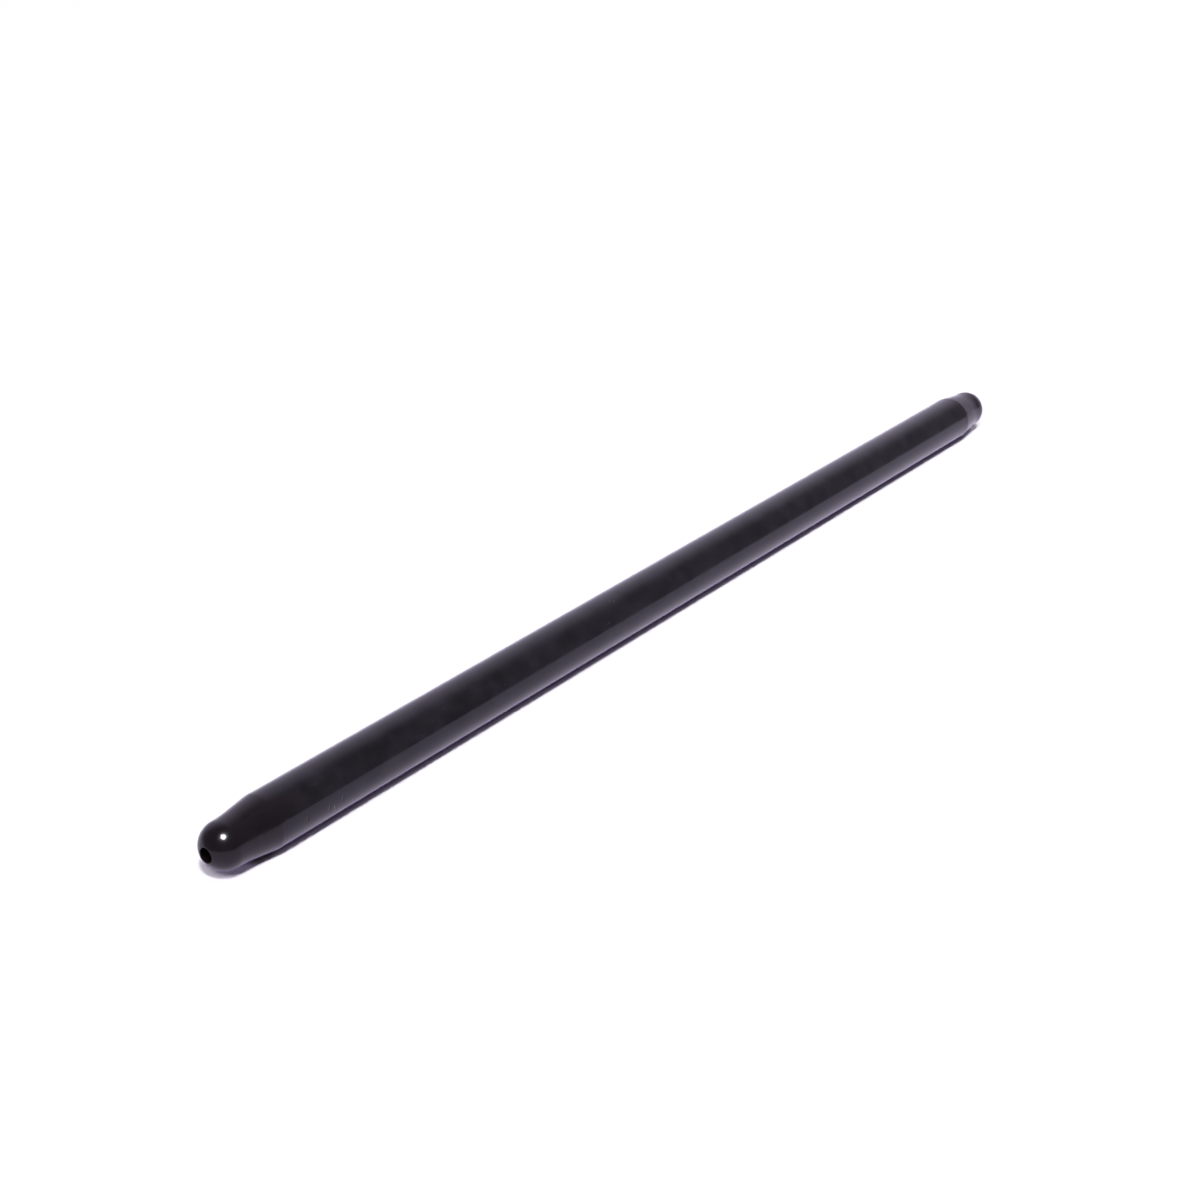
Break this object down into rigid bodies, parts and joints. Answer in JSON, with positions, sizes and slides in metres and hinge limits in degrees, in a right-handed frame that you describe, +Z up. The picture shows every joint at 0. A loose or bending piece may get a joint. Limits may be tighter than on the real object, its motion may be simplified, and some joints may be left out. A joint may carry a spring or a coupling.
{
  "type": "engine pushrod",
  "caption": "Straight hollow steel rod with ball ends, tapered necks and an oil hole through each ball; carries the lifter's push up to the rocker arm.",
  "frame": {"origin": "the middle of the rod, on its axis", "axes": "+X along the rod's axis; the two ends are alike; +Z up as it lies"},
  "size_m": [0.2346, 0.0094, 0.0096],
  "materials": {
    "black_steel": "black oxide on smooth drawn and formed steel, satin gloss"
  },
  "bodies": {
    "root": {"pushrod": "black_steel"}
  },
  "joints": []
}
